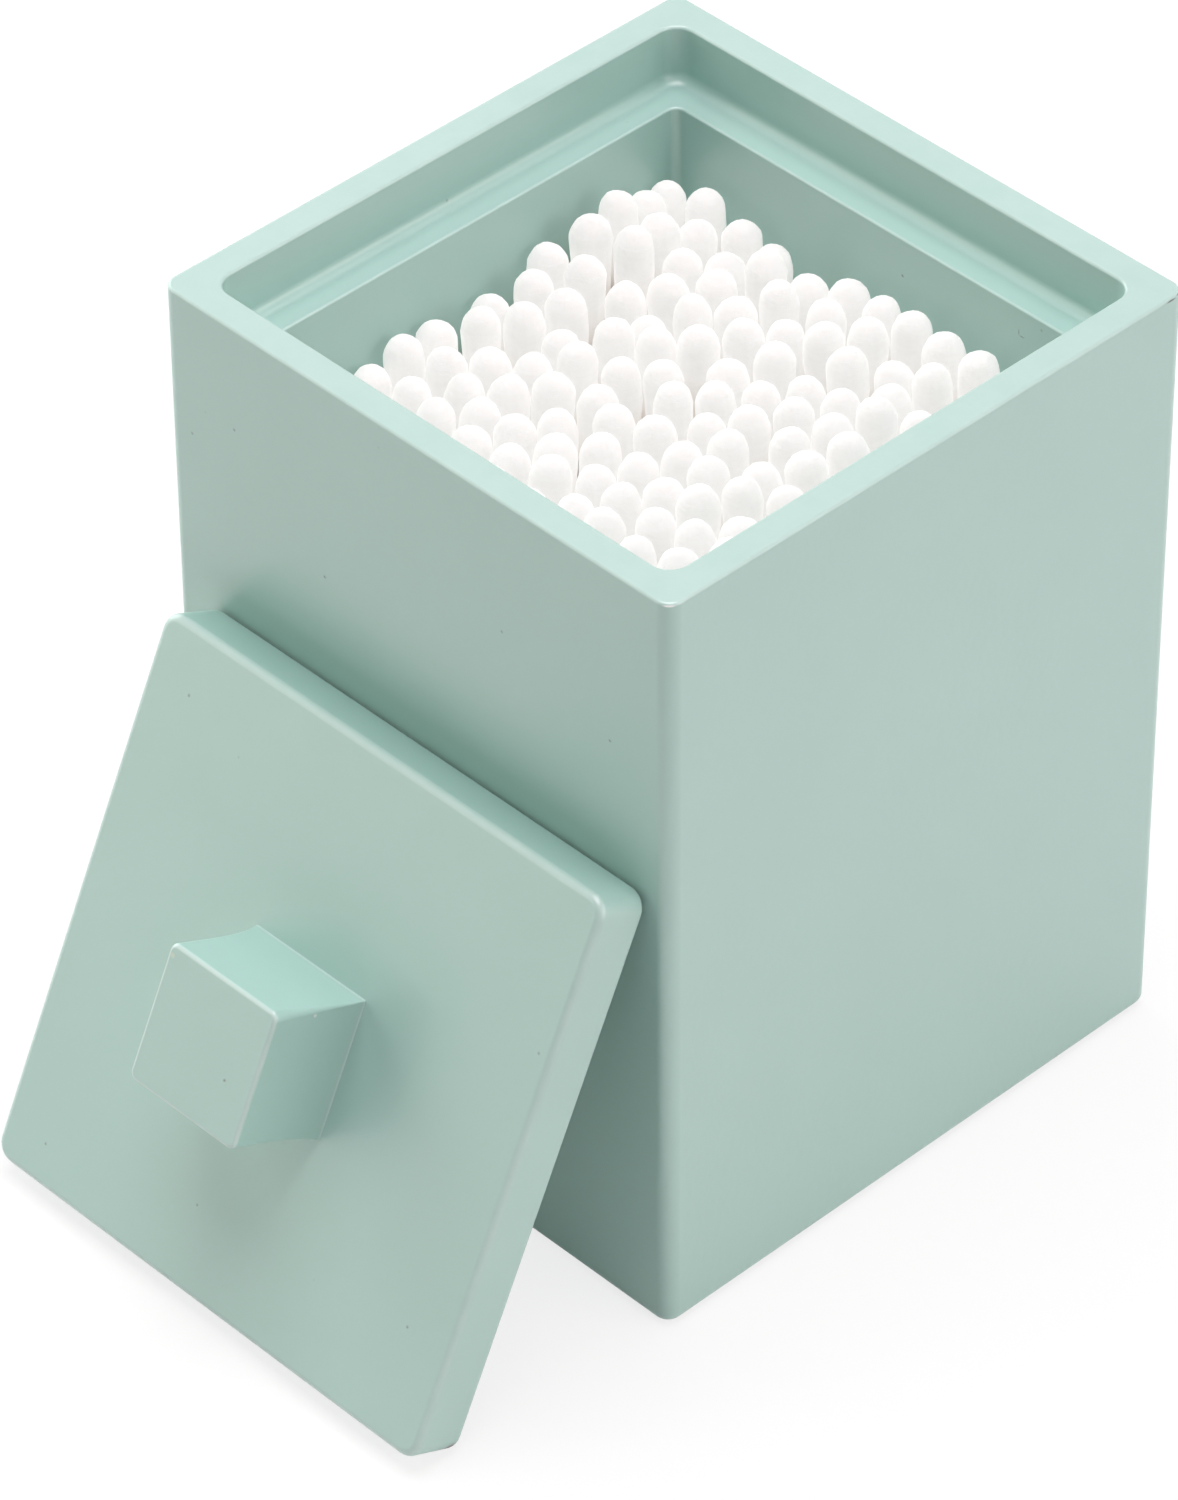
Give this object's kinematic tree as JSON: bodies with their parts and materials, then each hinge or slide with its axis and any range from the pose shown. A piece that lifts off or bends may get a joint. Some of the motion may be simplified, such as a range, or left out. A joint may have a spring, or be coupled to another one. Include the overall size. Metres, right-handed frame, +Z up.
{
  "type": "cotton swab jar",
  "caption": "Square lacquered jar with a stepped lid seat, a loose slab lid with a flared square knob leaning on its front, and a pack of upright cotton swabs.",
  "frame": {"origin": "middle of the pad's underside, which the jar stands on", "axes": "+Z up, -Y towards the front face that the lid leans on, +X along that face"},
  "size_m": [0.08, 0.1181, 0.1055],
  "materials": {
    "lacquer": "satin mint-green lacquer on cast resin",
    "cotton": "wound white cotton on a white paper stick",
    "screw_steel": "plain zinc-plated steel",
    "pad_rubber": "matt dark foam rubber"
  },
  "bodies": {
    "jar": {"jar_body": "lacquer", "base_pad": "pad_rubber"},
    "lid": {"lid_panel": "lacquer", "lid_knob": "lacquer", "knob_screw": "screw_steel"},
    "swabs": {"swab_row_01": "cotton", "swab_row_02": "cotton", "swab_row_03": "cotton", "swab_row_04": "cotton", "swab_row_05": "cotton", "swab_row_06": "cotton", "swab_row_07": "cotton", "swab_row_08": "cotton", "swab_row_09": "cotton", "swab_row_10": "cotton", "swab_row_11": "cotton", "swab_row_12": "cotton", "swab_row_13": "cotton"}
  },
  "joints": [
    {"name": "lid_lift", "type": "slide", "parent": "jar", "child": "lid", "axis": [0, 0, 1], "range_m": [0, 0.13]},
    {"name": "swabs_lift", "type": "slide", "parent": "jar", "child": "swabs", "axis": [0, 0, 1], "range_m": [0, 0.1]}
  ]
}
